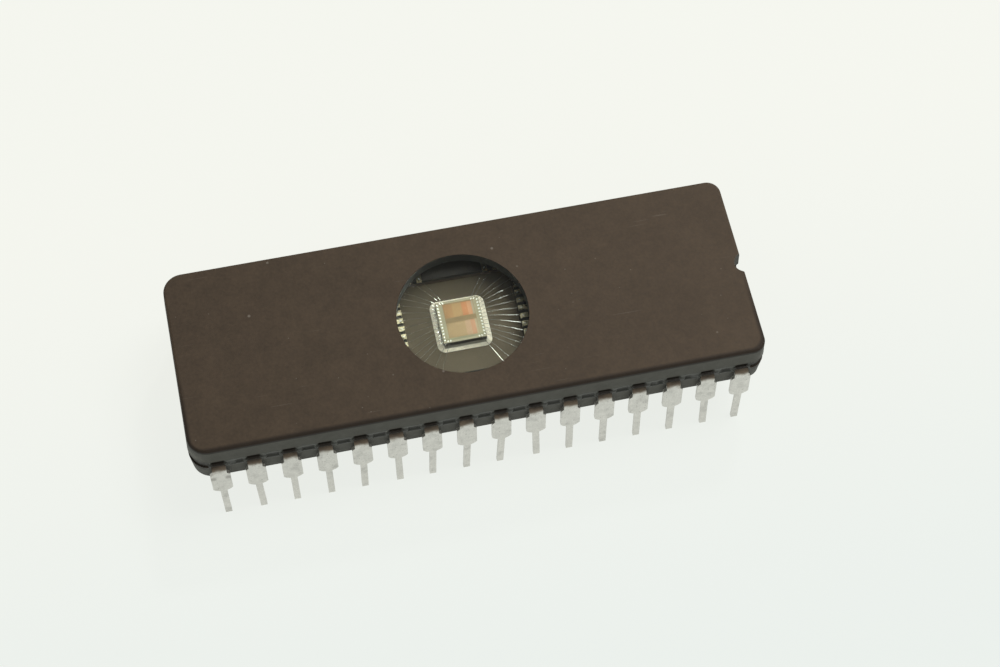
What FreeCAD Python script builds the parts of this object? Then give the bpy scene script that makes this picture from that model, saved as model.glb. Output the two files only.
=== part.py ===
import FreeCAD, Part
import math
import os

import Sketcher
from FreeCAD import Rotation, Vector

# Windowed ceramic memory chip in a dual in-line package with 32 leads, in millimetres.
# The lead tips stand on z = 0, +X runs along the body towards its notch and +Y across it.
# A pressed ceramic base carries the silicon die in a shallow cavity. The lead frame lies on
# the base in sealing glass, and a ceramic cap with a clear lens closes the package above it.

LEADS_PER_ROW = 16
FINGERS_PER_QUARTER_END = 6
FINGERS_PER_QUARTER_SIDE = 2
PADS_PER_END = 2 * FINGERS_PER_QUARTER_END

# Each size is written once here: name, value and what it measures.
SIZES = [
    ("lead_pitch", 2.54, "lead to lead along a row"),
    ("end_margin", 1.8, "last lead to the body's end, at its top and underside"),
    ("body_width", 14.4, "ceramic body at its top and underside, along Y"),
    ("body_corner_radius", 1.0, "upright corners of the ceramic at the notched end"),
    ("plain_corner_radius", 1.4, "upright corners of the ceramic at the other end"),
    ("draft_angle", 4.0, "degrees that the pressed sides lean out towards the seal"),
    ("face_edge_radius", 0.22, "rounding of the cap's top edge"),
    ("underside_chamfer", 0.06, "bevel of the base's lower edge"),
    ("cap_seal_bevel", 0.28, "bevel of the cap's lower edge, over the sealing glass"),
    ("notch_radius", 0.77, "half-round index notch in one end"),
    ("notch_depth", 0.6, "depth of the notch from the end face"),
    ("standoff", 4.1, "lead tips to the base's underside"),
    ("base_thickness", 1.75, "pressed base"),
    ("cap_thickness", 1.88, "pressed cap"),
    ("cavity_length", 8.4, "die cavity in the base, along X"),
    ("cavity_width", 7.8, "die cavity in the base, along Y"),
    ("cavity_depth", 0.25, "die cavity below the base's top"),
    ("cavity_corner_radius", 0.5, "corners of the die cavity"),
    ("recess_length", 11.4, "wire recess under the cap, along X"),
    ("recess_width", 10.4, "wire recess under the cap, along Y"),
    ("recess_depth", 0.38, "wire recess above the cap's underside"),
    ("window_radius", 4.8, "round window hole in the cap"),
    ("lens_bond_gap", 0.01, "fused line between lens and cap"),
    ("seal_below", 0.15, "sealing glass under the lead frame"),
    ("seal_above", 0.15, "sealing glass over the lead frame"),
    ("seal_inset", 0.12, "sealing glass stands back from the ceramic's edge"),
    ("seal_setback", 0.05, "sealing glass stands back from the cavity"),
    ("finger_proud", 0.08, "bare finger tips above the glass between them"),
    ("meniscus_width", 1.36, "glass around a lead's root"),
    ("meniscus_reach", 0.12, "glass drawn out along the lead"),
    ("meniscus_drop", 0.4, "glass run down below the base's top"),
    ("lead_thickness", 0.25, "lead frame sheet"),
    ("lead_standout", 0.3576, "outside of the bends from the ceramic's widest edge"),
    ("lead_splay", 6.4, "degrees that the leads lean outwards"),
    ("bend_radius", 0.2, "inside of the lead's bend"),
    ("neck_width", 1.0, "lead where it leaves the glass"),
    ("blade_width", 1.42, "broad part of the lead"),
    ("blade_top", 5.5, "upper shoulders of the broad part, above the tips"),
    ("blade_foot", 3.14, "lower shoulders, on which the lead seats on a board"),
    ("blade_chamfer", 0.18, "slope of the upper shoulders"),
    ("blade_foot_rise", 0.15, "slope of the lower shoulders"),
    ("blade_corner", 0.18, "blunt lower corners of the broad part"),
    ("tip_width", 0.48, "narrow end that goes into the board"),
    ("root_reach", 0.5, "wide root of the lead inside the glass"),
    ("finger_run_width", 0.6, "finger's run inwards from the root"),
    ("finger_width", 0.38, "finger beside the cavity"),
    ("finger_pitch", 0.65, "finger to finger on the cavity's short sides"),
    ("finger_bend", 0.3, "chamfer where a finger turns"),
    ("side_finger_start", 2.45, "first finger on the cavity's long side, from the middle"),
    ("side_finger_pitch", 0.8, "finger to finger on the cavity's long side"),
    ("side_finger_slant", 0.9, "slanted stretch of a long side's finger, measured across the body"),
    ("finger_setback", 0.02, "finger tips stand back from the cavity"),
    ("die_length", 3.2, "die along X"),
    ("die_width", 3.35, "die along Y"),
    ("die_thickness", 0.6, "die"),
    ("die_shift_x", -0.09, "die's middle from the cavity's"),
    ("die_shift_y", 0.21, "die's middle from the cavity's"),
    ("attach_thickness", 0.05, "silver glass under the die"),
    ("attach_margin", 0.42, "silver glass around the die"),
    ("attach_collar", 0.18, "silver glass up the die's sides"),
    ("attach_slope", 52.0, "degrees that the collar leans in from upright"),
    ("attach_corner_radius", 0.6, "corners of the silver glass"),
    ("wire_radius", 0.016, "aluminium bond wire"),
    ("wire_rise", 0.28, "top of a wire's loop above its pad"),
    ("wire_knee", 0.45, "pad to the top of the loop, level"),
    ("wire_knee_radius", 0.2, "bend at the top of the loop"),
    ("pad_inset", 0.13, "bond pads from the die's edge"),
    ("pad_pitch", 0.262, "bond pad to bond pad"),
    ("corner_pad_inset", 0.34, "pads of the long sides' wires, from the die's corner"),
    ("corner_pad_pitch", 0.2, "the two pads of one corner"),
    ("bond_inset", 0.2, "wire's foot from the finger's tip"),
]

# How far each visible lead's narrow end is bent along the row, from the notch's far end.
TIP_BENDS = [0.02, 0.07, 0.0, 0.0, -0.07, 0.0, -0.11, -0.12, -0.15, 0.07, 0.0, 0.0, 0.02, 0.01, 0.06, -0.05]

doc = FreeCAD.newDocument("memory_chip")
sheet = doc.addObject("Spreadsheet::Sheet", "Sizes")


def fill_sheet():
    """Puts every size in its own cell, with its name and what it measures beside it."""
    bends = [("tip_bend_%d" % (n + 1), bend, "sideways bend of a lead's end") for n, bend in enumerate(TIP_BENDS)]
    for row, (name, value, meaning) in enumerate(SIZES + bends, start=1):
        sheet.set("A%d" % row, name)
        sheet.set("B%d" % row, str(value))
        sheet.set("C%d" % row, meaning)
        sheet.setAlias("B%d" % row, name)
    doc.recompute()


def value_of(expression):
    """Gives the number that an expression on the sheet's sizes has now."""
    return float(sheet.evalExpression(expression))


fill_sheet()

# Levels and lines that several pieces share, as expressions on the sheet.
BASE_TOP = "(Sizes.standoff + Sizes.base_thickness)"
FRAME_LEVEL = "(%s + Sizes.seal_below)" % BASE_TOP
FRAME_TOP = "(%s + Sizes.lead_thickness)" % FRAME_LEVEL
CAP_UNDERSIDE = "(%s + Sizes.seal_above)" % FRAME_TOP
CAP_TOP = "(%s + Sizes.cap_thickness)" % CAP_UNDERSIDE
RECESS_CEILING = "(%s + Sizes.recess_depth)" % CAP_UNDERSIDE
BODY_LENGTH = "(%d * Sizes.lead_pitch + 2 * Sizes.end_margin)" % (LEADS_PER_ROW - 1)
CAVITY_FLOOR = "(%s - Sizes.cavity_depth)" % BASE_TOP
DIE_UNDERSIDE = "(%s + Sizes.attach_thickness)" % CAVITY_FLOOR
DIE_TOP = "(%s + Sizes.die_thickness)" % DIE_UNDERSIDE
SEAL_LENGTH = "(%s + 2 * Sizes.base_thickness * tan(Sizes.draft_angle))" % BODY_LENGTH
SEAL_WIDTH = "(Sizes.body_width + 2 * Sizes.base_thickness * tan(Sizes.draft_angle))"
BEND_OUTSIDE = "(%s / 2 + Sizes.lead_standout)" % SEAL_WIDTH
ROOT_LINE = "(Sizes.body_width / 2 - Sizes.root_reach)"
END_FINGER_TIP = "(Sizes.cavity_length / 2 + Sizes.finger_setback)"
SIDE_FINGER_TIP = "(Sizes.cavity_width / 2 + Sizes.finger_setback)"


def origin_feature(body, role):
    """Finds one of a body's own origin planes or axes."""
    return next(feature for feature in body.Origin.OriginFeatures if feature.Role == role)


def add_sketch(body, name, plane, offset="0"):
    """Adds an empty sketch on one of the body's origin planes, moved along the plane's normal."""
    sketch = body.newObject("Sketcher::SketchObject", name)
    sketch.AttachmentSupport = [(origin_feature(body, plane), "")]
    sketch.MapMode = "FlatFace"
    sketch.setExpression("AttachmentOffset.Base.z", offset)
    return sketch


def fix_point(sketch, geometry, position, x, y):
    """Ties a point of a sketch to two expressions, measured from the sketch's origin."""
    for kind, expression in (("DistanceX", x), ("DistanceY", y)):
        datum = Sketcher.Constraint(kind, -1, 1, geometry, position, value_of(expression))
        index = sketch.addConstraint(datum)
        sketch.setExpression("Constraints[%d]" % index, expression)


def fix_radius(sketch, geometry, radius):
    index = sketch.addConstraint(Sketcher.Constraint("Radius", geometry, value_of(radius)))
    sketch.setExpression("Constraints[%d]" % index, radius)


def add_circle(sketch, x, y, radius):
    circle = Part.Circle(Vector(value_of(x), value_of(y), 0), Vector(0, 0, 1), value_of(radius))
    geometry = sketch.addGeometry(circle)
    fix_point(sketch, geometry, 3, x, y)
    fix_radius(sketch, geometry, radius)


def tangent_points(before, corner, after, radius):
    """Gives where a round corner leaves its first side and joins its second, and the centre of its arc."""
    back = (before - corner).normalize()
    ahead = (after - corner).normalize()
    half_angle = back.getAngle(ahead) / 2
    middle = (back + ahead).normalize()
    reach = radius / math.tan(half_angle)
    return corner + back * reach, corner + ahead * reach, corner + middle * (radius / math.sin(half_angle))


def add_outline(sketch, corners):
    """Draws a closed outline from its corners: two coordinates, and a radius where one is round."""
    count = len(corners)
    points = [Vector(value_of(corner[0]), value_of(corner[1]), 0) for corner in corners]
    starts = list(points)
    ends = list(points)
    centres = {}
    for n, corner in enumerate(corners):
        if len(corner) == 3:
            around = (points[n - 1], points[n], points[(n + 1) % count])
            ends[n], starts[n], centres[n] = tangent_points(*around, value_of(corner[2]))
    lines = [sketch.addGeometry(Part.LineSegment(starts[n], ends[(n + 1) % count])) for n in range(count)]
    for n, corner in enumerate(corners):
        if n not in centres:
            sketch.addConstraint(Sketcher.Constraint("Coincident", lines[n - 1], 2, lines[n], 1))
            fix_point(sketch, lines[n], 1, corner[0], corner[1])
            continue
        turn = (points[n] - points[n - 1]).cross(points[(n + 1) % count] - points[n]).z
        first, last = (ends[n], starts[n]) if turn > 0 else (starts[n], ends[n])
        radius = value_of(corner[2])
        angles = [math.atan2(p.y - centres[n].y, p.x - centres[n].x) for p in (first, last)]
        circle = Part.Circle(centres[n], Vector(0, 0, 1), radius)
        arc = sketch.addGeometry(Part.ArcOfCircle(circle, angles[0], angles[1]))
        entry, leaving = (1, 2) if turn > 0 else (2, 1)
        apex = sketch.addGeometry(Part.Point(points[n]), True)
        fix_point(sketch, apex, 1, corner[0], corner[1])
        sketch.addConstraint([
            Sketcher.Constraint("PointOnObject", apex, 1, lines[n - 1]),
            Sketcher.Constraint("PointOnObject", apex, 1, lines[n]),
            Sketcher.Constraint("Tangent", lines[n - 1], 2, arc, entry),
            Sketcher.Constraint("Tangent", arc, leaving, lines[n], 1),
        ])
        fix_radius(sketch, arc, corner[2])


def add_rectangle(sketch, length, width, radius=None, middle=("0", "0"), left_radius=None):
    """Draws a rectangle about its middle, with round corners where a radius is given."""
    corners = []
    for x_sign, y_sign in (("-", "-"), ("+", "-"), ("+", "+"), ("-", "+")):
        corner = ("%s %s (%s) / 2" % (middle[0], x_sign, length), "%s %s (%s) / 2" % (middle[1], y_sign, width))
        own = left_radius if left_radius and x_sign == "-" else radius
        corners.append(corner + (own,) if own else corner)
    add_outline(sketch, corners)


def add_body_outline(sketch, length, width):
    """Draws the outline that base, seal and cap share: rounder at the end without the notch."""
    add_rectangle(sketch, length, width, "Sizes.body_corner_radius", left_radius="Sizes.plain_corner_radius")


def add_pad(body, name, sketch, length, downwards=False, symmetric=False, taper="0"):
    pad = body.newObject("PartDesign::Pad", name)
    pad.Profile = sketch
    pad.Reversed = downwards
    pad.SideType = "Symmetric" if symmetric else "One side"
    pad.setExpression("Length", length)
    pad.setExpression("TaperAngle", taper)
    body.Tip = pad
    return pad


def add_pocket(body, name, sketch, depth=None, upwards=False):
    """Cuts a sketch out, to a depth or through everything on both sides of it."""
    pocket = body.newObject("PartDesign::Pocket", name)
    pocket.Profile = sketch
    pocket.Reversed = upwards
    if depth:
        pocket.setExpression("Length", depth)
    else:
        pocket.Type = "ThroughAll"
        pocket.SideType = "Symmetric"
    body.Tip = pocket
    return pocket


def dress_rim(body, name, level, size, rounded=False):
    """Bevels or rounds every edge of the body's last feature that lies all round at one level."""
    doc.recompute()
    height = value_of(level)
    plate = body.Tip
    ends = [(edge.BoundBox.ZMin, edge.BoundBox.ZMax) for edge in plate.Shape.Edges]
    rim = ["Edge%d" % (n + 1) for n, pair in enumerate(ends) if max(abs(z - height) for z in pair) < 1e-5]
    dressing = body.newObject("PartDesign::Fillet" if rounded else "PartDesign::Chamfer", name)
    dressing.Base = (plate, rim)
    dressing.setExpression("Radius" if rounded else "Size", size)
    body.Tip = dressing


def new_body(label):
    body = doc.addObject("PartDesign::Body", label)
    body.Label = label
    return body


def cut_notch(body):
    """Cuts the half-round index notch that base, seal and cap share, at the +X end."""
    sketch = add_sketch(body, body.Name + "_notch_outline", "XY_Plane")
    centre = "%s / 2 - Sizes.notch_depth + Sizes.notch_radius" % BODY_LENGTH
    add_circle(sketch, centre, "0", "Sizes.notch_radius")
    add_pocket(body, body.Name + "_notch", sketch)


def add_ceramic(label, outer_face, length, is_cap):
    """Makes a pressed ceramic plate that widens from its outer face to the seal, with the notch in it."""
    body = new_body(label)
    outline = add_sketch(body, label + "_outline", "XY_Plane", outer_face)
    add_body_outline(outline, BODY_LENGTH, "Sizes.body_width")
    add_pad(body, label + "_plate", outline, length, downwards=is_cap, taper="Sizes.draft_angle")
    outer_edge = "Sizes.face_edge_radius" if is_cap else "Sizes.underside_chamfer"
    dress_rim(body, label + "_face_edge", outer_face, outer_edge, rounded=is_cap)
    if is_cap:
        dress_rim(body, label + "_seal_edge", CAP_UNDERSIDE, "Sizes.cap_seal_bevel")
    cut_notch(body)
    return body


def add_base():
    """Makes the base, with its die cavity open upwards."""
    base = add_ceramic("ceramic_base", "Sizes.standoff", "Sizes.base_thickness", is_cap=False)
    cavity = add_sketch(base, "cavity_outline", "XY_Plane", BASE_TOP)
    add_rectangle(cavity, "Sizes.cavity_length", "Sizes.cavity_width", "Sizes.cavity_corner_radius")
    add_pocket(base, "cavity", cavity, "Sizes.cavity_depth")
    return base


def add_cap():
    """Makes the cap, with the wire recess in its underside and the window hole through it."""
    cap = add_ceramic("ceramic_cap", CAP_TOP, "Sizes.cap_thickness", is_cap=True)
    recess = add_sketch(cap, "recess_outline", "XY_Plane", CAP_UNDERSIDE)
    add_rectangle(recess, "Sizes.recess_length", "Sizes.recess_width", "Sizes.cavity_corner_radius")
    add_pocket(cap, "recess", recess, "Sizes.recess_depth", upwards=True)
    hole = add_sketch(cap, "window_outline", "XY_Plane")
    add_circle(hole, "0", "0", "Sizes.window_radius")
    add_pocket(cap, "window", hole)
    return cap


def add_lens():
    """Makes the clear lens: flush with the cap's top, its underside level with the recess's ceiling."""
    lens = new_body("window_lens")
    outline = add_sketch(lens, "lens_outline", "XY_Plane", RECESS_CEILING)
    add_circle(outline, "0", "0", "Sizes.window_radius - Sizes.lens_bond_gap")
    add_pad(lens, "lens_disc", outline, "%s - %s" % (CAP_TOP, RECESS_CEILING))
    return lens


def lead_outline(bend):
    """Gives the front view of a lead: narrow end, broad part with blunt corners and neck."""
    slope = "Sizes.blade_foot + Sizes.blade_foot_rise"
    right = [
        ("Sizes.tip_width / 2 + " + bend, "0"),
        ("Sizes.tip_width / 2", "Sizes.blade_foot"),
        ("Sizes.blade_width / 2 - Sizes.blade_corner", slope),
        ("Sizes.blade_width / 2", slope + " + Sizes.blade_corner"),
        ("Sizes.blade_width / 2", "Sizes.blade_top - Sizes.blade_chamfer"),
        ("Sizes.neck_width / 2", "Sizes.blade_top"),
        ("Sizes.neck_width / 2", CAP_TOP),
    ]
    left = [("-(%s)" % corner[0],) + corner[1:] for corner in reversed(right)]
    left[-1] = ("-Sizes.tip_width / 2 + " + bend, "0")
    return right + left


def lead_profile():
    """Gives the side view of a lead of the near row: flat in the seal, a round bend and a splayed leg."""
    lean = "tan(Sizes.lead_splay)"
    across = "Sizes.lead_thickness / cos(Sizes.lead_splay)"
    return [
        ("-" + ROOT_LINE, FRAME_TOP),
        ("-" + BEND_OUTSIDE, FRAME_TOP, "Sizes.bend_radius + Sizes.lead_thickness"),
        ("-%s - %s * %s" % (BEND_OUTSIDE, FRAME_TOP, lean), "0"),
        ("-%s + %s - %s * %s" % (BEND_OUTSIDE, across, FRAME_TOP, lean), "0"),
        ("-%s + %s - Sizes.lead_thickness * %s" % (BEND_OUTSIDE, across, lean), FRAME_LEVEL, "Sizes.bend_radius"),
        ("-" + ROOT_LINE, FRAME_LEVEL),
    ]


def end_finger(lead_x, finger_y, side):
    """Gives a finger that runs inwards, turns and ends at the cavity's short side."""
    run = "Sizes.finger_run_width / 2"
    half = "Sizes.finger_width / 2"
    tip = "(-%s - %s)" % (END_FINGER_TIP, lead_x)
    shoulder = "-%s + Sizes.neck_width / 2" % ROOT_LINE
    corners = [
        ("-Sizes.neck_width / 2", "-" + ROOT_LINE),
        ("Sizes.neck_width / 2", "-" + ROOT_LINE),
        (run, shoulder),
        (run, "%s - %s - Sizes.finger_bend" % (finger_y, half)),
        ("%s + Sizes.finger_bend" % run, "%s - %s" % (finger_y, half)),
        (tip, "%s - %s" % (finger_y, half)),
        (tip, "%s + %s" % (finger_y, half)),
        ("-%s + Sizes.finger_bend" % run, "%s + %s" % (finger_y, half)),
        ("-" + run, "%s + %s - Sizes.finger_bend" % (finger_y, half)),
        ("-" + run, shoulder),
    ]
    return [("%s * (%s)" % (side, x), y) for x, y in corners]


def side_finger(lead_x, finger_x, side):
    """Gives a finger that slants to the cavity's long side and ends square to it."""
    half = "Sizes.finger_width / 2"
    run = "Sizes.finger_run_width / 2"
    shift = "(%s - %s)" % (finger_x, lead_x)
    shoulder = "-%s + Sizes.neck_width / 2" % ROOT_LINE
    straight = "%s + Sizes.side_finger_slant" % shoulder
    corners = [
        ("-Sizes.neck_width / 2", "-" + ROOT_LINE),
        ("Sizes.neck_width / 2", "-" + ROOT_LINE),
        (run, shoulder),
        ("%s + %s" % (shift, half), straight),
        ("%s + %s" % (shift, half), "-" + SIDE_FINGER_TIP),
        ("%s - %s" % (shift, half), "-" + SIDE_FINGER_TIP),
        ("%s - %s" % (shift, half), straight),
        ("-" + run, shoulder),
    ]
    return [("%s * (%s)" % (side, x), y) for x, y in corners]


def finger_outline(place):
    """Chooses the finger of the near row's lead at a place, counted from the row's -X end."""
    on_left = place < LEADS_PER_ROW / 2
    side = "1" if on_left else "-1"
    from_end = place if on_left else LEADS_PER_ROW - 1 - place
    lead_x = "(%s * Sizes.lead_pitch)" % (from_end - (LEADS_PER_ROW - 1) / 2)
    if from_end < FINGERS_PER_QUARTER_END:
        return end_finger(lead_x, "-%s * Sizes.finger_pitch" % (from_end + 0.5), side)
    steps_out = LEADS_PER_ROW // 2 - 1 - from_end
    finger_x = "(-Sizes.side_finger_start - %s * Sizes.side_finger_pitch)" % steps_out
    return side_finger(lead_x, finger_x, side)


def add_near_lead(place):
    """Makes one folded lead of the row on the -Y side, numbered on from the other row."""
    label = "lead_%02d" % (LEADS_PER_ROW + 1 + place)
    lead = new_body(label)
    profile = add_sketch(lead, label + "_profile", "YZ_Plane")
    add_outline(profile, lead_profile())
    add_pad(lead, label + "_strip", profile, "Sizes.blade_width", symmetric=True)
    blade = add_sketch(lead, label + "_front", "XZ_Plane")
    add_outline(blade, lead_outline("Sizes.tip_bend_%d" % (place + 1)))
    add_rectangle(blade, "4 * Sizes.blade_width", "4 * %s" % CAP_TOP)
    add_pocket(lead, label + "_blade", blade)
    finger = add_sketch(lead, label + "_top", "XY_Plane", FRAME_LEVEL)
    add_outline(finger, finger_outline(place))
    add_pad(lead, label + "_finger", finger, "Sizes.lead_thickness")
    lead.setExpression("Placement.Base.x", "%s * Sizes.lead_pitch" % (place - (LEADS_PER_ROW - 1) / 2))
    return lead


def add_far_lead(near_lead, place):
    """Mirrors a lead into the row on the +Y side, which counts back from the notch."""
    label = "lead_%02d" % (LEADS_PER_ROW - place)
    lead = doc.addObject("Part::Mirroring", label)
    lead.Label = label
    lead.Source = near_lead
    lead.Normal = Vector(0, 1, 0)
    return lead


def add_meniscus(seal, row_name, side):
    """Adds the glass drawn out along each root of one row and run down over the base's edge."""
    first_lead = "-%s * Sizes.lead_pitch" % ((LEADS_PER_ROW - 1) / 2)
    film = "Sizes.lead_thickness / 3"
    at_body = {
        "y": "(%s / 2 - 2 * Sizes.seal_inset)" % SEAL_WIDTH,
        "half": "Sizes.meniscus_width / 2",
        "low": "%s - Sizes.meniscus_drop" % BASE_TOP,
        "high": CAP_UNDERSIDE,
    }
    on_lead = {
        "y": "(%s / 2 + Sizes.meniscus_reach)" % SEAL_WIDTH,
        "half": "(Sizes.neck_width / 2 + %s)" % film,
        "low": "%s - %s" % (FRAME_LEVEL, film),
        "high": "%s + %s" % (FRAME_TOP, film),
    }
    ends = [at_body, on_lead] if side > 0 else [on_lead, at_body]
    bump = seal.newObject("PartDesign::AdditiveWedge", "meniscus_" + row_name)
    for infix, limit, end in (("", "min", ends[0]), ("2", "max", ends[1])):
        bump.setExpression("Y" + limit, "%d * %s" % (side, end["y"]))
        bump.setExpression("X%smin" % infix, "%s - %s" % (first_lead, end["half"]))
        bump.setExpression("X%smax" % infix, "%s + %s" % (first_lead, end["half"]))
        bump.setExpression("Z%smin" % infix, end["low"])
        bump.setExpression("Z%smax" % infix, end["high"])
    seal.Tip = bump
    row = seal.newObject("PartDesign::LinearPattern", "meniscus_row_" + row_name)
    row.Originals = [bump]
    row.Direction = (origin_feature(seal, "X_Axis"), [""])
    row.Occurrences = LEADS_PER_ROW
    row.setExpression("Length", "%d * Sizes.lead_pitch" % (LEADS_PER_ROW - 1))
    seal.Tip = row


def add_seal(base, cap, leads):
    """Makes the sealing glass: a frame between base and cap that holds every lead."""
    blank = new_body("seal_blank")
    outline = add_sketch(blank, "seal_outline", "XY_Plane", BASE_TOP)
    inset = "%s - 2 * Sizes.seal_inset"
    add_body_outline(outline, inset % SEAL_LENGTH, inset % SEAL_WIDTH)
    add_pad(blank, "seal_layer", outline, "%s - %s" % (CAP_UNDERSIDE, BASE_TOP))
    opening = add_sketch(blank, "seal_opening", "XY_Plane", BASE_TOP)
    wider = "%s + 2 * Sizes.seal_setback"
    add_rectangle(opening, wider % "Sizes.cavity_length", wider % "Sizes.cavity_width", "Sizes.cavity_corner_radius")
    add_pocket(blank, "seal_mouth", opening)
    step = add_sketch(blank, "seal_step_outline", "XY_Plane", CAP_UNDERSIDE)
    add_rectangle(step, "Sizes.recess_length", "Sizes.recess_width", "Sizes.cavity_corner_radius")
    add_pocket(blank, "seal_step", step, "Sizes.seal_above + Sizes.finger_proud")
    cut_notch(blank)
    add_meniscus(blank, "near", -1)
    add_meniscus(blank, "far", 1)
    held = doc.addObject("Part::Compound", "held_by_seal")
    held.Links = [base, cap] + leads
    seal = doc.addObject("Part::Cut", "sealing_glass")
    seal.Label = "sealing_glass"
    seal.Base = blank
    seal.Tool = held
    return seal


def add_die():
    """Makes the plain silicon die on its silver glass."""
    die = doc.addObject("Part::Box", "silicon_die")
    die.Label = "silicon_die"
    die.setExpression("Length", "Sizes.die_length")
    die.setExpression("Width", "Sizes.die_width")
    die.setExpression("Height", "Sizes.die_thickness")
    die.setExpression("Placement.Base.x", "Sizes.die_shift_x - Sizes.die_length / 2")
    die.setExpression("Placement.Base.y", "Sizes.die_shift_y - Sizes.die_width / 2")
    die.setExpression("Placement.Base.z", DIE_UNDERSIDE)
    return die


def add_die_attach():
    """Makes the silver glass: a low frustum on the cavity's floor with the die sunk into it."""
    attach = new_body("die_attach")
    middle = ("Sizes.die_shift_x", "Sizes.die_shift_y")
    foot = add_sketch(attach, "attach_foot", "XY_Plane", CAVITY_FLOOR)
    wider = "%s + 2 * Sizes.attach_margin"
    add_rectangle(foot, wider % "Sizes.die_length", wider % "Sizes.die_width", "Sizes.attach_corner_radius", middle)
    height = "Sizes.attach_thickness + Sizes.attach_collar"
    add_pad(attach, "attach_collar", foot, height, taper="-Sizes.attach_slope")
    seat = add_sketch(attach, "die_seat", "XY_Plane", DIE_UNDERSIDE)
    add_rectangle(seat, "Sizes.die_length", "Sizes.die_width", middle=middle)
    add_pocket(attach, "die_seat_cut", seat, height, upwards=True)
    return attach


def end_wires(side):
    """Lists pad and finger points of the wires to the cavity's short side at -X or +X."""
    pad_x = value_of("Sizes.die_shift_x") + side * value_of("Sizes.die_length / 2 - Sizes.pad_inset")
    foot_x = side * value_of(END_FINGER_TIP + " + Sizes.bond_inset")
    pairs = []
    for n in range(PADS_PER_END):
        place = n - (PADS_PER_END - 1) / 2
        pad_y = value_of("Sizes.die_shift_y") + place * value_of("Sizes.pad_pitch")
        pairs.append(((pad_x, pad_y), (foot_x, place * value_of("Sizes.finger_pitch"))))
    return pairs


def side_wires(side):
    """Lists pad and finger points of the wires to the cavity's long side at -Y or +Y."""
    pad_y = value_of("Sizes.die_shift_y") + side * value_of("Sizes.die_width / 2 - Sizes.pad_inset")
    foot_y = side * value_of(SIDE_FINGER_TIP + " + Sizes.bond_inset")
    pairs = []
    for end in (-1, 1):
        for n in range(FINGERS_PER_QUARTER_SIDE):
            from_corner = FINGERS_PER_QUARTER_SIDE - 1 - n
            inset = value_of("Sizes.corner_pad_inset + %d * Sizes.corner_pad_pitch" % from_corner)
            pad_x = value_of("Sizes.die_shift_x") + end * (value_of("Sizes.die_length / 2") - inset)
            foot_x = end * value_of("Sizes.side_finger_start + %d * Sizes.side_finger_pitch" % n)
            pairs.append(((pad_x, pad_y), (foot_x, foot_y)))
    return pairs


def wire_solid(pad, foot):
    """Sweeps one six-sided bond wire: up from its pad, over its knee and straight down to its finger."""
    radius = value_of("Sizes.wire_radius")
    drop = value_of(FRAME_TOP) - value_of(DIE_TOP)
    span = math.dist(pad, foot)
    start = Vector(0, 0, 0)
    knee = Vector(value_of("Sizes.wire_knee"), 0, value_of("Sizes.wire_rise"))
    finish = Vector(span, 0, drop)
    knee_start, knee_end = tangent_points(start, knee, finish, value_of("Sizes.wire_knee_radius"))[:2]
    path = Part.makePolygon([start, knee_start, knee_end, finish])
    across = Vector(0, 1, 0)
    upright = knee.cross(across).normalize()
    corners = [math.radians(60 * n) for n in range(7)]
    section = Part.makePolygon([(across * math.cos(a) + upright * math.sin(a)) * radius for a in corners])
    mitred = 1
    tube = path.makePipeShell([section], True, False, mitred)
    reach = 4 * radius
    under_pad = Part.makeBox(span / 2 + reach, 2 * reach, reach, Vector(-reach, -reach, -reach))
    under_foot = Part.makeBox(span / 2 + reach, 2 * reach, reach, Vector(span / 2, -reach, drop - reach))
    wire = tube.cut(Part.makeCompound([under_pad, under_foot])).Solids[0]
    heading = math.degrees(math.atan2(foot[1] - pad[1], foot[0] - pad[0]))
    wire.Placement = FreeCAD.Placement(Vector(*pad, value_of(DIE_TOP)), Rotation(Vector(0, 0, 1), heading))
    return wire


def add_wires(label, pairs):
    """Makes the bond wires of one side of the die, a group of separate solids."""
    wires = doc.addObject("Part::Feature", label)
    wires.Label = label
    wires.Shape = Part.makeCompound([wire_solid(pad, foot) for pad, foot in pairs])
    return wires


def check(parts):
    """Stops before anything is written if a feature failed, cuts nothing or a piece isn't a sound solid."""
    for item in doc.Objects:
        if "Invalid" in item.State or "Error" in item.State:
            raise RuntimeError("%s failed: %s" % (item.Name, item.State))
        if item.TypeId == "PartDesign::Pocket" and item.Shape.Volume >= item.BaseFeature.Shape.Volume:
            raise RuntimeError("%s cuts nothing" % item.Name)
    for item in parts:
        if item.Shape.isNull() or not item.Shape.isValid() or not item.Shape.Solids:
            raise RuntimeError("%s has no sound solid" % item.Label)


def export(parts):
    os.makedirs("parts", exist_ok=True)
    for item in parts:
        item.Shape.exportStep("parts/%s.step" % item.Label)
        print("%-18s %2d solids %9.3f mm3" % (item.Label, len(item.Shape.Solids), item.Shape.Volume))


def main():
    base = add_base()
    cap = add_cap()
    near_leads = [add_near_lead(place) for place in range(LEADS_PER_ROW)]
    far_leads = [add_far_lead(lead, place) for place, lead in enumerate(near_leads)]
    leads = near_leads + far_leads
    seal = add_seal(base, cap, leads)
    wires = [
        add_wires("bond_wires_left", end_wires(-1)),
        add_wires("bond_wires_right", end_wires(1)),
        add_wires("bond_wires_near", side_wires(-1)),
        add_wires("bond_wires_far", side_wires(1)),
    ]
    parts = [base, cap, add_lens(), seal, add_die(), add_die_attach()] + leads + wires
    doc.recompute()
    check(parts)
    export(parts)


main()
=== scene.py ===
"""Dresses the windowed ceramic memory chip: finishes, bond wires, root glass, light and camera."""

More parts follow.
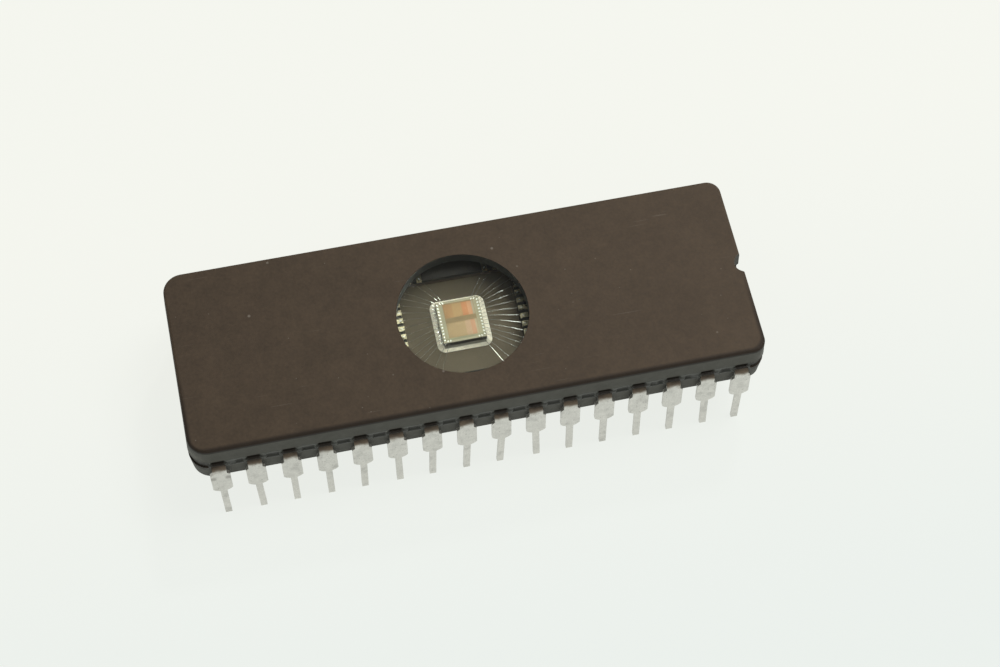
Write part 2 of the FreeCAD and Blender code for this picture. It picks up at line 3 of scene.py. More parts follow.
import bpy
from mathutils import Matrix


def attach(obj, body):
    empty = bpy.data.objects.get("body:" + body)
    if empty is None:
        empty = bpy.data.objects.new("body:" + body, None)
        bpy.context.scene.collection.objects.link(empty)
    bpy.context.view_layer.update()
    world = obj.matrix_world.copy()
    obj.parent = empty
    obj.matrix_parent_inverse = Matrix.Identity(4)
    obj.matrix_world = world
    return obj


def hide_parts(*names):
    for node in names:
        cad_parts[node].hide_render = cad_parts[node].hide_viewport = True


bl_info = {
    "name": "Windowed memory chip",
    "version": (1, 0, 0),
    "blender": (4, 5, 0),
    "location": "View3D > Sidebar > Memory chip",
    "description": "Finishes and fine parts of a ceramic memory chip with a window over its die",
    "category": "Object",
}

import math

import bpy
import numpy as np
from mathutils import Vector

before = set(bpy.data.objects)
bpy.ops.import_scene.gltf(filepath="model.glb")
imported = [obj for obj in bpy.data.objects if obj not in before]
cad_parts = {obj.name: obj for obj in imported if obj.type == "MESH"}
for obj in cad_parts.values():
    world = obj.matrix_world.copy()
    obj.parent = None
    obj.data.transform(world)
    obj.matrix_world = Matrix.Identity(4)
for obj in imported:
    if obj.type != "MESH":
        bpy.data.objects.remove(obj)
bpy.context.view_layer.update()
MM = 0.001
BACKDROP = (0.925, 0.932, 0.872)

# Lead rows and fingers, as the folded lead frame has them, in millimetres
LEADS_PER_ROW = 16
LEAD_PITCH = 2.54
NECK_WIDTH = 1.0
FINGER_PITCH = 0.65
FINGERS_PER_QUARTER_END = 6
END_FINGER_TIP = 4.22
SIDE_FINGER_TIP = 3.92
SIDE_FINGERS = (2.45, 3.25)
BOND_INSET = 0.2
FRAME_TOP = 6.25
FIRST_LEAD_X = -19.05
ROW_HALF_LENGTH = 19.6
ROOT_GLASS_HALF_LENGTH = 19.73

# Ceramic body
BODY_HALF_LENGTH = 20.85
BODY_HALF_WIDTH = 7.2
CORNER_RADIUS = 1.2
DRAFT = math.tan(math.radians(4.0))
BASE_BOTTOM = 4.1
SEAM_MIDDLE = 6.2
SEAM_TOP = 6.62
CAP_BOTTOM = 6.4
CAP_TOP = 8.28
END_FACE_START = 19.95
RECESS_CEILING = 6.78
INSIDE_RECESS_X = 5.69
INSIDE_RECESS_Y = 5.19
CAVITY_HALF_LENGTH = 4.2
CAVITY_HALF_WIDTH = 3.9
CAVITY_FLOOR = 5.6

# Die and its bond pads
DIE_TOP = 6.25
DIE_MIDDLE = (-0.09, 0.21)
DIE_HALF_LENGTH = 1.6
DIE_HALF_WIDTH = 1.675
PAD_INSET = 0.13
PAD_PITCH = 0.262
CORNER_PAD_INSET = 0.34
CORNER_PAD_PITCH = 0.2

# Bonds, in millimetres
PAD_BOND_LENGTH = 0.14
FINGER_BOND_LENGTH = 0.16
BOND_WIDTH = 0.075
BOND_THICKNESS = 0.018
BOND_EDGE = 0.006

# Glass around the roots, in millimetres
GLASS_LOW = 5.62
GLASS_HIGH = 6.92
GLASS_COLUMNS = 720
GLASS_ROWS = 40
GLASS_WALL = 0.08
GLASS_SKIN = 0.008
GLASS_FOOT = 5.94
GLASS_LIP_RISE = 0.34
PILLAR_SOFTNESS = 0.12
PILLAR_EXTRA_WIDTH = 0.16
SWELL_LEVEL = 6.12
SWELL_HEIGHT = 0.36

# Specks and cavity plating on the ceramic; painted shade on the near rim, in the end gaps and over the
# roots, and a painted highlight on the corners
SPECK = (0.42, 0.38, 0.33)
NEAR_RIM_SHADE = (0.010, 0.006, 0.004)
CORNER_HIGHLIGHT = (0.17, 0.165, 0.145)
END_GAP_SHADE = (0.020, 0.016, 0.012)
ROOT_SHADE_ON_CERAMIC = (0.014, 0.010, 0.007)
CAVITY_PLATING = (0.088, 0.066, 0.041)

# Bubbles in the sealing glass, darker glass between the leads, and painted shade in the gap, over the roots,
# inside the cavity and in the seam at the ends
BUBBLE = (0.03, 0.03, 0.03)
GAP_SHADE = (0.022, 0.019, 0.016)
GLASS_BETWEEN_LEADS = (0.030, 0.029, 0.026)
ROOT_SHADE_ON_GLASS = (0.018, 0.012, 0.008)
CAVITY_GLASS_SHADE = (0.014, 0.009, 0.006)
END_SEAM_SHADE = (0.022, 0.018, 0.014)

# Stains and bare metal on the leads; crept glass over the fingers, with painted shade over those on the long
# sides
BROWN_STAIN = (0.20, 0.145, 0.085)
BROWN_TOP = (0.10, 0.062, 0.032)
DARK_ROOT = (0.020, 0.013, 0.008)
PIT = (0.14, 0.12, 0.10)
DENT = (0.16, 0.15, 0.13)
FINGER_CLAD = (0.72, 0.62, 0.42)
CREPT_GLASS_AND_SHADE = (0.050, 0.042, 0.024)

# Inside the window
LENS_TINT = (0.93, 0.97, 0.94)
FUSED_EDGE = (0.012, 0.014, 0.011, 1.0)
DIE_SIDE = (0.05, 0.04, 0.03)
PAD_METAL = (0.86, 0.82, 0.72)
SILVER_GLASS = (0.84, 0.75, 0.63)
ATTACH_SHADOW = (0.050, 0.038, 0.022)

# Stage, in metres and watts; the camera's place is in millimetres and its turn in degrees
FLOOR_SIZE = 3.0
CAMERA_PLACE_MM = (-13.938, -66.707, 138.856)
CAMERA_TURN = (26.980, -1.056, -12.034)
CAMERA_LENS = 73.64
CAMERA_SENSOR = 36.0
CAMERA_CLIP_START = 0.005
LAMP_DISTANCE = 0.6

# Each lamp's direction, size, power and colour
LAMPS = {
    "key": ((0.44, 0.15, 0.89), 0.30, 1.9, (1.0, 0.985, 0.95)),
    "glint": ((0.345, 0.577, 0.741), 0.06, 0.70, (1.0, 0.99, 0.97)),
}

# Room over the chip: bright walls, dim ceiling
SKY_COLOUR = (0.97, 1.0, 0.96, 1.0)
CEILING_DIRECTION = (0.10, 0.42, 0.90)
WALL_STRENGTH = 0.80
CEILING_STRENGTH = 0.16


class Amount:
    """A number that changes over a surface: sums, products and steps of amounts add their Math nodes."""

    def __init__(self, finish, socket):
        self.finish = finish
        self.socket = socket

    def math(self, operation, *values):
        node = self.finish.node("ShaderNodeMath", {"operation": operation}, *values)
        return Amount(self.finish, node.outputs[0])

    def __add__(self, other):
        return self.math("ADD", self, other)

    __radd__ = __add__

    def __sub__(self, other):
        return self.math("SUBTRACT", self, other)

    def __rsub__(self, other):
        return self.math("SUBTRACT", other, self)

    def __mul__(self, other):
        return self.math("MULTIPLY", self, other)

    __rmul__ = __mul__

    def __truediv__(self, other):
        return self.math("DIVIDE", self, other)

    def __pow__(self, other):
        return self.math("POWER", self, other)

    def __abs__(self):
        return self.math("ABSOLUTE", self)

    def at_least(self, value):
        return self.math("MAXIMUM", self, value)

    def part_over_whole(self):
        return self.math("FRACT", self)

    def above(self, edge, soft=0.01):
        """Goes from 0 to 1 as the amount passes an edge."""
        settings = {"interpolation_type": "SMOOTHSTEP", "clamp": True}
        node = self.finish.node("ShaderNodeMapRange", settings, self, edge - soft, edge + soft, 0.0, 1.0)
        return Amount(self.finish, node.outputs[0])

    def below(self, edge, soft=0.01):
        return 1.0 - self.above(edge, soft)

    def within(self, low, high, soft=0.01):
        return self.above(low, soft) * self.below(high, soft)

    def stripes(self, pitch, share, offset=0.0):
        """Gives 1 on evenly spaced stripes that take a share of their pitch."""
        return ((self - offset) / pitch).part_over_whole().below(share, 0.06)


class Finish:
    """A material around one Principled shader, whose patterns are written as sums of amounts."""

    def __init__(self, name, color, roughness, **constants):
        self.material = bpy.data.materials.new(name)
        self.material.use_nodes = True
        self.tree = self.material.node_tree
        self.shader = self.tree.nodes["Principled BSDF"]
        self.output = self.tree.nodes["Material Output"]
        self.shader.inputs["Base Color"].default_value = (*color, 1.0)
        self.shader.inputs["Roughness"].default_value = roughness
        for key, value in constants.items():
            self.shader.inputs[key.replace("_", " ").title().replace("Ior", "IOR")].default_value = value
        self.place = self.node("ShaderNodeTexCoord").outputs["Object"]
        scaled = self.node("ShaderNodeVectorMath", {"operation": "SCALE"}, self.place, Scale=1.0 / MM)
        self.place_mm = scaled.outputs[0]
        self.x, self.y, self.z = self.parts(self.place_mm)
        normal = self.node("ShaderNodeNewGeometry").outputs["Normal"]
        self.upward = self.parts(normal)[2]

    def node(self, kind, settings=None, *values, **named):
        """Adds a node, sets what it does, then the values or links of its sockets."""
        node = self.tree.nodes.new(kind)
        for key, value in (settings or {}).items():
            setattr(node, key, value)
        for key, value in [*enumerate(values), *named.items()]:
            self.connect(node.inputs[key], value)
        return node

    def connect(self, socket, value):
        if isinstance(value, Amount):
            value = value.socket
        if isinstance(value, bpy.types.NodeSocket):
            self.tree.links.new(value, socket)
        elif value is not None:
            socket.default_value = value

    def parts(self, vector):
        """Splits a vector into its three amounts."""
        split = self.node("ShaderNodeSeparateXYZ", {}, vector)
        return [Amount(self, socket) for socket in split.outputs]

    def feed(self, name, value):
        self.connect(self.shader.inputs[name], value)

    def noise(self, per_mm, detail=2.0, stretch=(1.0, 1.0, 1.0), seed=0.0):
        """Gives a noise from 0 to 1 with so many grains a millimetre."""
        offset = (seed * 3.1, seed * 1.7, seed * 2.3)
        mapping = self.node("ShaderNodeMapping", {}, self.place_mm, Location=offset, Scale=stretch)
        node = self.node("ShaderNodeTexNoise", {}, Vector=mapping.outputs[0], Scale=per_mm, Detail=detail)
        return Amount(self, node.outputs[0])

    def cells(self, per_mm, feature="F1", seed=0.0, stretch=(1.0, 1.0, 1.0)):
        """Gives the distance to the nearest of scattered points, and a colour that is the cell's own."""
        offset = (seed, seed, seed)
        mapping = self.node("ShaderNodeMapping", {}, self.place_mm, Location=offset, Scale=stretch)
        settings = {"feature": feature}
        node = self.node("ShaderNodeTexVoronoi", settings, Vector=mapping.outputs[0], Scale=per_mm)
        own = self.node("ShaderNodeSeparateXYZ", {}, node.outputs["Color"])
        return Amount(self, node.outputs["Distance"]), Amount(self, own.outputs[0])

    def mix(self, amount, first, second):
        """Goes from a first colour to a second one."""
        colours = [(*c, 1.0) if isinstance(c, tuple) else c for c in (first, second)]
        node = self.node("ShaderNodeMix", {"data_type": "RGBA", "clamp_factor": True})
        self.connect(node.inputs[0], amount)
        self.connect(node.inputs[6], colours[0])
        self.connect(node.inputs[7], colours[1])
        return node.outputs[2]

    def shade(self, colour, amount):
        """Makes a colour lighter or darker by an amount about 1."""
        grey = self.node("ShaderNodeCombineXYZ", {}, amount, amount, amount).outputs[0]
        base = (*colour, 1.0) if isinstance(colour, tuple) else colour
        node = self.node("ShaderNodeMix", {"data_type": "RGBA", "blend_type": "MULTIPLY"})
        node.inputs[0].default_value = 1.0
        self.connect(node.inputs[6], base)
        self.connect(node.inputs[7], grey)
        return node.outputs[2]

    def bump(self, height_mm):
        """Raises the surface by an amount in millimetres."""
        node = self.node("ShaderNodeBump", {}, Distance=MM, Height=height_mm)
        self.feed("Normal", node.outputs[0])

    def put_on(self, *names):
        for name in names:
            mesh = bpy.data.objects[name].data
            mesh.materials.clear()
            mesh.materials.append(self.material)


def deselect_all():
    bpy.ops.object.select_all(action="DESELECT")


def select_only(*pieces):
    deselect_all()
    for piece in pieces:
        piece.select_set(True)
    bpy.context.view_layer.objects.active = pieces[0]


def settle(piece, name, finish):
    """Names a finished piece, keeps its place in its mesh and lets it ride with the chip."""
    select_only(piece)
    bpy.ops.object.transform_apply(location=True, rotation=True, scale=True)
    piece.name = name
    piece.data.materials.clear()
    piece.data.materials.append(finish.material)
    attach(piece, "root")
    return piece


class ChipColours(bpy.types.PropertyGroup):
    """Colours of the chip's finishes."""

    ceramic: bpy.props.FloatVectorProperty(
        name="Ceramic", description="Pressed alumina of base and cap", subtype="COLOR",
        default=(0.058, 0.040, 0.0255), min=0.0, max=1.0)
    # Painted reflection: the steep sides take a grey where they reflect the bright floor.
    side_reflection: bpy.props.FloatVectorProperty(
        name="Side", description="Grey glass film on the pressed sides", subtype="COLOR",
        default=(0.082, 0.083, 0.073), min=0.0, max=1.0)
    seal: bpy.props.FloatVectorProperty(
        name="Sealing glass", description="Opaque glass between base and cap", subtype="COLOR",
        default=(0.074, 0.075, 0.066), min=0.0, max=1.0)
    tin: bpy.props.FloatVectorProperty(
        name="Tin plate", description="Plating of the leads", subtype="COLOR",
        default=(0.62, 0.608, 0.572), min=0.0, max=1.0)
    floor: bpy.props.FloatVectorProperty(
        name="Floor", description="Pale surface that the chip stands on", subtype="COLOR",
        default=(0.840, 0.882, 0.850), min=0.0, max=1.0)


class ChipSizes(bpy.types.PropertyGroup):
    """Sizes of the fine parts, in millimetres."""

    wire_radius: bpy.props.FloatProperty(
        name="Wire radius", description="Radius of a bond wire", default=0.015, min=0.005, max=0.05)
    loop_height: bpy.props.FloatProperty(
        name="Loop height", description="Top of a wire's loop above its pad",
        default=0.27, min=0.05, max=0.4)
    pillar_bulge: bpy.props.FloatProperty(
        name="Pillar bulge", description="Glass beside a lead's root, proud of the cap's side",
        default=0.04, min=0.0, max=0.3)
    pillar_width: bpy.props.FloatProperty(
        name="Pillar width", description="Glass beside a lead's root, across",
        default=0.16, min=0.02, max=0.5)
    gap_line: bpy.props.FloatProperty(
        name="Gap", description="Outer face of the recessed glass, from the middle",
        default=7.215, min=7.0, max=7.3)


def near_root(finish):
    """Marks a band straight above every lead's neck, on both long sides."""
    across = abs((finish.x / LEAD_PITCH).part_over_whole() - 0.5) * LEAD_PITCH
    in_row = abs(finish.x).below(ROW_HALF_LENGTH, 0.05)
    return across.below(0.44, 0.10) * in_row * abs(finish.y).above(7.0, 0.02)


def edge_distance(finish):
    """Measures how far a point is outside the cap's rounded outline."""
    past_x = (abs(finish.x) - (BODY_HALF_LENGTH - CORNER_RADIUS)).at_least(0.0)
    past_y = (abs(finish.y) - (BODY_HALF_WIDTH - CORNER_RADIUS)).at_least(0.0)
    return (past_x ** 2.0 + past_y ** 2.0) ** 0.5 - CORNER_RADIUS


def ceramic_finish(colours):
    """Matte pressed alumina: fine grain, faint clouds, small pale specks and short scratches, with a painted
    light gradient lighter towards +X, a painted reflection of the floor on the steep sides, painted shade on
    the near rim, in the end gaps, over the roots and towards the cavity's far wall, and a painted highlight
    on the corners.
    """
    finish = Finish("pressed_ceramic", tuple(colours.ceramic), 0.55, specular_ior_level=0.22)
    grain = finish.noise(4.2, detail=4.0)
    clouds = finish.noise(0.35, detail=3.0, seed=2.0)
    patches = finish.noise(1.3, detail=2.0, seed=12.0)
    # The last term is painted light: the ceramic grows lighter towards +X.
    tone = 0.45 + 0.60 * grain + 0.36 * clouds + 0.40 * patches + 0.004 * finish.x
    distance, own = finish.cells(0.55, seed=4.0)
    specks = distance.below(0.055, 0.02) * own.above(0.72, 0.02)
    dust_distance, dust_own = finish.cells(1.7, seed=9.0)
    dust = dust_distance.below(0.07, 0.03) * dust_own.above(0.86, 0.02)
    streak = finish.noise(1.0, detail=1.0, stretch=(0.25, 9.0, 1.0), seed=5.0)
    scratches = streak.above(0.735, 0.012) * finish.noise(0.3, seed=6.0).above(0.62, 0.05)
    pale = 0.26 * specks + 0.20 * dust + 0.07 * scratches
    base = finish.shade(tuple(colours.ceramic), tone)
    base = finish.mix(pale, base, SPECK)
    # Painted reflection of the bright floor: the steep outer sides take a grey instead of the brown.
    side = abs(finish.upward).below(0.30, 0.10) * edge_distance(finish).above(-0.25, 0.05)
    side_reflection_tone = finish.shade(tuple(colours.side_reflection), 0.66 + 0.4 * patches + 0.28 * clouds)
    base = finish.mix(0.85 * side, base, side_reflection_tone)
    # Painted shade: the rounded top edge on the near side is darkened.
    rim = edge_distance(finish).above(-0.27, 0.14) * finish.z.above(7.95, 0.08) * finish.y.below(-2.0, 4.0)
    base = finish.mix(0.74 * rim, base, NEAR_RIM_SHADE)
    # Painted shade: the seam's gap at the body's ends is darkened.
    outside = edge_distance(finish).above(-0.6, 0.05)
    gap = finish.z.within(5.70, SEAM_TOP, 0.10) * outside
    gap = gap.at_least(finish.z.within(5.42, SEAM_TOP, 0.22) * outside)
    ends = abs(finish.x).above(END_FACE_START, 0.15)
    # Painted highlight: a pale streak on the cap's corners above the seam.
    corner = finish.z.within(6.85, 7.45, 0.25) * ends * abs(finish.y).within(6.0, 7.1, 0.3)
    base = finish.mix(0.55 * corner, base, CORNER_HIGHLIGHT)
    base = finish.mix(0.72 * gap * ends, base, END_GAP_SHADE)
    # Painted shade on the cap's bevel straight above each lead's root.
    over_roots = near_root(finish) * finish.z.within(6.36, 6.70, 0.10)
    base = finish.mix(0.72 * over_roots, base, ROOT_SHADE_ON_CERAMIC)
    in_cavity = abs(finish.x).below(CAVITY_HALF_LENGTH - 0.02)
    in_cavity = in_cavity * abs(finish.y).below(CAVITY_HALF_WIDTH - 0.02)
    in_cavity = in_cavity * finish.z.within(CAVITY_FLOOR - 0.1, CAVITY_FLOOR + 0.01)
    flow = finish.noise(0.8, detail=2.0, seed=8.0)
    # Painted shade: the plating grows darker towards the cavity's far wall.
    shaded = 1.0 - 0.18 * finish.y.above(1.6, 2.6)
    plating = finish.shade(CAVITY_PLATING, (0.86 + 0.20 * flow + 0.08 * grain) * shaded)
    finish.feed("Base Color", finish.mix(in_cavity, base, plating))
    finish.feed("Metallic", in_cavity * 0.25)
    finish.feed("Roughness", 0.56 + 0.14 * grain - 0.08 * scratches - 0.14 * in_cavity)
    finish.bump((0.010 * grain + 0.004 * clouds) * (1.0 - in_cavity))
    return finish


def seal_finish(colours):
    """Opaque grey sealing glass, satin, with fine bubbles and darker between the leads; painted shade in the
    gap, over the roots, inside the cavity and in the seam at the ends.
    """
    finish = Finish("sealing_glass", tuple(colours.seal), 0.38, specular_ior_level=0.24)
    clouds = finish.noise(1.4, detail=4.0)
    grain = finish.noise(6.0, detail=3.0, seed=3.0)
    bubble_distance, bubble_own = finish.cells(3.2, seed=2.0)
    bubbles = bubble_distance.below(0.14, 0.06) * bubble_own.above(0.80, 0.02)
    colour = finish.shade(tuple(colours.seal), 0.66 + 0.40 * clouds + 0.28 * grain)
    colour = finish.mix(0.5 * bubbles, colour, BUBBLE)
    # Painted shade: the recessed glass in the gap between cap and base is darkened.
    deep = abs(finish.y).below(7.27, 0.04) * finish.z.above(5.84, 0.03) * finish.z.below(6.46, 0.12)
    colour = finish.mix(0.42 * deep, colour, GAP_SHADE)
    between = finish.z.below(6.44, 0.16) * abs(finish.y).above(7.2, 0.02)
    colour = finish.mix(0.42 * between, colour, GLASS_BETWEEN_LEADS)
    # Painted shade on the glass straight above each lead's root.
    over_roots = near_root(finish) * finish.z.above(6.27, 0.06)
    colour = finish.mix(0.84 * over_roots, colour, ROOT_SHADE_ON_GLASS)
    # Painted shade: the glass inside the cavity, under the cap, is darkened.
    inside = abs(finish.x).below(INSIDE_RECESS_X) * abs(finish.y).below(INSIDE_RECESS_Y)
    colour = finish.mix(0.85 * inside, colour, CAVITY_GLASS_SHADE)
    # Painted shade: the glass in the seam at the body's ends is darkened.
    seam = finish.z.within(5.42, SEAM_TOP, 0.20) * abs(finish.x).above(END_FACE_START - 0.10, 0.15)
    colour = finish.mix(0.66 * seam, colour, END_SEAM_SHADE)
    finish.feed("Base Color", colour)
    finish.feed("Roughness", 0.36 + 0.2 * clouds)
    finish.bump(0.02 * clouds + 0.004 * grain - 0.01 * bubbles)
    return finish


def lead_finish(colours):
    """Tin-plated lead frame: satin, mottled, brown at the roots, with bare clad fingers inside, partly under
    crept glass, and painted shade over the fingers on the long sides.
    """
    finish = Finish("tin_plate", tuple(colours.tin), 0.42, metallic=1.0)
    mottle = finish.noise(2.2, detail=4.0)
    fine = finish.noise(10.0, detail=3.0, seed=2.0)
    rolled = finish.noise(4.0, detail=2.0, stretch=(3.0, 1.0, 0.25), seed=4.0)
    pit_distance, pit_own = finish.cells(4.5, seed=6.0)
    pits = pit_distance.below(0.16, 0.14) * pit_own.above(0.70, 0.05) * finish.z.above(3.0, 0.3)
    scuffs = finish.noise(1.1, detail=4.0, seed=11.0).above(0.60, 0.10)
    inside = abs(finish.x).below(INSIDE_RECESS_X) * abs(finish.y).below(INSIDE_RECESS_Y)
    inside = inside * finish.z.above(5.95)
    # Glass crept over the fingers here and there; over the fingers on the long sides the same dark colour is
    # painted shade, as they lie in the cap's shadow.
    crept = finish.noise(3.6, detail=3.0, seed=9.0).above(0.55, 0.06)
    crept = crept.at_least(abs(finish.x).below(3.9, 0.05) * (abs(finish.y) - 0.3 * crept).above(3.96, 0.05))
    edge = finish.noise(1.6, detail=3.0, seed=7.0)
    stain = (finish.z + 1.1 * edge).above(6.42, 0.32) * (1.0 - inside)
    top = (finish.z + 0.34 * edge).above(6.10, 0.16) * (1.0 - inside)
    root = top * (abs(finish.y) + 0.5 * edge).below(7.80, 0.20)
    first = abs(finish.x - FIRST_LEAD_X)
    dent = first.within(0.34, 1.0, 0.10) * finish.y.below(-7.0) * finish.z.within(4.75, 5.1, 0.14)
    tone = 0.62 + 0.40 * mottle + 0.42 * fine + 0.12 * rolled - 0.16 * scuffs
    colour = finish.shade(tuple(colours.tin), tone)
    colour = finish.mix(0.46 * stain, colour, BROWN_STAIN)
    colour = finish.mix(0.84 * top, colour, BROWN_TOP)
    colour = finish.mix(0.85 * root, colour, DARK_ROOT)
    colour = finish.mix(0.55 * pits, colour, PIT)
    colour = finish.mix(0.50 * dent, colour, DENT)
    clad = finish.shade(FINGER_CLAD, 0.75 + 0.5 * fine)
    clad = finish.mix(0.80 * crept, clad, CREPT_GLASS_AND_SHADE)
    finish.feed("Base Color", finish.mix(inside, colour, clad))
    finish.feed("Metallic", 1.0 - 0.6 * root - 0.35 * stain * (1.0 - root))
    finish.feed("Roughness", 0.36 + 0.16 * mottle + 0.16 * stain - 0.10 * inside)
    finish.bump(0.010 * mottle + 0.005 * fine - 0.012 * pits)
    return finish


def window_finish():
    """Clear glass with a faint green tint; its fused edge shows the dark ceramic behind it."""
    finish = Finish("window_glass", LENS_TINT, 0.0, transmission_weight=1.0, ior=1.5)
    fused = finish.z.within(RECESS_CEILING + 0.004, CAP_TOP - 0.004, 0.001)
    wall = finish.node("ShaderNodeBsdfPrincipled", {}, Roughness=0.5)
    wall.inputs["Base Color"].default_value = FUSED_EDGE
    clear = finish.node("ShaderNodeBsdfTransparent", {}, Color=(*LENS_TINT, 1.0))
    lamp_ray = finish.node("ShaderNodeLightPath").outputs["Is Shadow Ray"]
    glass = finish.node("ShaderNodeMixShader", {}, lamp_ray, finish.shader.outputs[0], clear.outputs[0])
    surface = finish.node("ShaderNodeMixShader", {}, fused, glass.outputs[0], wall.outputs[0])
    finish.tree.links.new(surface.outputs[0], finish.output.inputs["Surface"])
    return finish


def die_finish():
    """Polished silicon with the blocks, stripes and frame of a memory array."""
    finish = Finish("patterned_silicon", (0.45, 0.30, 0.16), 0.16, metallic=0.35)
    u = finish.x - DIE_MIDDLE[0]
    v = finish.y - DIE_MIDDLE[1]
    on_top = finish.z.above(DIE_TOP - 0.01, 0.004)
    frame_line = 1.0 - u.within(-1.34, 1.36, 0.012) * v.within(-1.49, 1.50, 0.012)
    strip_length = v.within(-1.36, 1.46, 0.015)
    array_width = u.within(-1.08, 1.14, 0.015)
    upper = v.within(0.30, 1.40, 0.02) * array_width
    lower = v.within(-1.33, -0.10, 0.02) * array_width
    tan = u.within(-0.45, 0.25, 0.02)
    orange = u.within(0.25, 0.66, 0.02)
    peach = u.within(0.66, 0.98, 0.02)
    pale = u.within(0.98, 1.14, 0.02)
    pad_row = abs((v / PAD_PITCH).part_over_whole() - 0.5).below(0.26, 0.03) * abs(v).below(1.56, 0.01)
    pads = pad_row * abs(abs(u) - (DIE_HALF_LENGTH - PAD_INSET)).below(0.055, 0.01)
    rows = v.stripes(0.052, 0.5)
    columns = u.stripes(0.085, 0.55)
    clouds = finish.noise(0.9, detail=2.0, seed=3.0)
    blocks = [
        (frame_line, (0.70, 0.62, 0.45)),
        (upper, (0.55, 0.31, 0.145)),
        (upper * tan, (0.58, 0.36, 0.17)),
        (upper * orange, (0.72, 0.31, 0.14)),
        (upper * peach, (0.80, 0.40, 0.22)),
        (upper * pale, (0.62, 0.51, 0.36)),
        (lower, (0.54, 0.37, 0.20)),
        (lower * orange, (0.62, 0.40, 0.25)),
        (lower * peach, (0.64, 0.34, 0.20)),
        (lower * pale, (0.62, 0.50, 0.33)),
        (strip_length * u.within(-1.36, -1.12, 0.015), (0.60, 0.54, 0.38)),
        (strip_length * u.within(1.16, 1.36, 0.015), (0.62, 0.54, 0.36)),
        (v.within(-1.50, -1.33, 0.015), (0.50, 0.46, 0.30)),
        (0.75 * pads, PAD_METAL),
    ]
    colour = (0.48, 0.34, 0.19)
    for place, tint in blocks:
        colour = finish.mix(place, colour, tint)
    art = finish.shade(colour, 0.57 + 0.12 * rows + 0.07 * columns + 0.12 * clouds)
    finish.feed("Base Color", finish.mix(on_top, DIE_SIDE, art))
    finish.feed("Roughness", 0.42 - 0.24 * on_top)
    finish.bump(0.0012 * rows * (upper + lower))
    return finish


def attach_finish():
    """Silver-filled glass: matte, pale and streaked, with painted light lighter on the left and darker on
    the right, and a painted shadow along the die's near side.
    """
    finish = Finish("silver_glass", (0.60, 0.57, 0.48), 0.5)
    flow = finish.noise(2.2, detail=4.0, stretch=(0.7, 3.6, 1.0))
    grain = finish.noise(12.0, detail=3.0, seed=4.0)
    # Painted light: the silver glass is lighter on the left of the die and darker on the right.
    colour = finish.shade(SILVER_GLASS, 0.34 + 0.9 * flow + 0.5 * grain - 0.09 * finish.x)
    shadow = (finish.y - DIE_MIDDLE[1]).within(-DIE_HALF_WIDTH - 0.20, 0.0, 0.03)
    shadow = shadow * abs(finish.x - DIE_MIDDLE[0]).below(DIE_HALF_LENGTH - 0.05, 0.06)
    colour = finish.mix(0.85 * shadow, colour, ATTACH_SHADOW)
    finish.feed("Base Color", colour)
    finish.feed("Roughness", 0.40 + 0.25 * grain)
    finish.bump(0.02 * flow + 0.008 * grain)
    return finish


def wire_finish():
    """Bright drawn aluminium."""
    finish = Finish("bond_wire", (0.88, 0.87, 0.85), 0.16, metallic=1.0)
    finish.feed("Roughness", 0.12 + 0.08 * finish.noise(14.0) + 0.28 * finish.z.below(DIE_TOP + 0.03))
    return finish


def end_bonds(side):
    """Lists pad and finger points of the wires to the cavity's short side at -X or +X."""
    count = 2 * FINGERS_PER_QUARTER_END
    pad_x = DIE_MIDDLE[0] + side * (DIE_HALF_LENGTH - PAD_INSET)
    bonds = []
    for n in range(count):
        place = n - (count - 1) / 2
        pad = (pad_x, DIE_MIDDLE[1] + place * PAD_PITCH)
        bonds.append((pad, (side * (END_FINGER_TIP + BOND_INSET), place * FINGER_PITCH)))
    return bonds


def side_bonds(side):
    """Lists pad and finger points of the wires to the cavity's long side at -Y or +Y."""
    pad_y = DIE_MIDDLE[1] + side * (DIE_HALF_WIDTH - PAD_INSET)
    bonds = []
    for end in (-1, 1):
        for n, finger in enumerate(SIDE_FINGERS):
            inset = CORNER_PAD_INSET + (len(SIDE_FINGERS) - 1 - n) * CORNER_PAD_PITCH
            pad = (DIE_MIDDLE[0] + end * (DIE_HALF_LENGTH - inset), pad_y)
            bonds.append((pad, (end * finger, side * (SIDE_FINGER_TIP + BOND_INSET))))
    return bonds


def add_wire(pad, foot, sizes):
    """Draws one bond wire as a smooth curve from its pad over its knee and down to its finger."""
    start = Vector((*pad, DIE_TOP))
    end = Vector((*foot, FRAME_TOP))
    along = (end - start).normalized()
    span = (end - start).length
    # Wires towards the near right are drawn low
    low = smooth_step(-along.y, 0.28, 0.46) * (1.0 - smooth_step(-along.y, 0.84, 0.90)) * (along.x > 0)
    rise = sizes.loop_height * (1.0 - 0.62 * low)
    radius = sizes.wire_radius
    # Reach from the pad and height over the straight line to the finger
    profile = [
        (0.0, radius),
        (0.10, 0.02),
        (0.16, 0.50 * rise),
        (0.24, 0.84 * rise),
        (0.40, 0.94 * rise),
        (0.56, 1.05 * rise),
        (0.45 * span, rise),
        (span - 0.42, 0.30 * rise),
        (span - 0.10, radius),
        (span, radius),
    ]
    bpy.ops.curve.primitive_nurbs_path_add(location=(0, 0, 0))
    curve = bpy.context.object
    spline = curve.data.splines[0]
    spline.points.add(len(profile) - len(spline.points))
    for point, (reach, height) in zip(spline.points, profile):
        place = start + along * reach + Vector((0, 0, height))
        point.co = (*(place * MM), 1.0)
    spline.order_u = 3
    spline.use_endpoint_u = True
    curve.data.bevel_depth = radius * MM
    curve.data.bevel_resolution = 1
    curve.data.resolution_u = 5
    curve.data.use_fill_caps = True
    bpy.ops.object.convert(target="MESH")
    return bpy.context.object


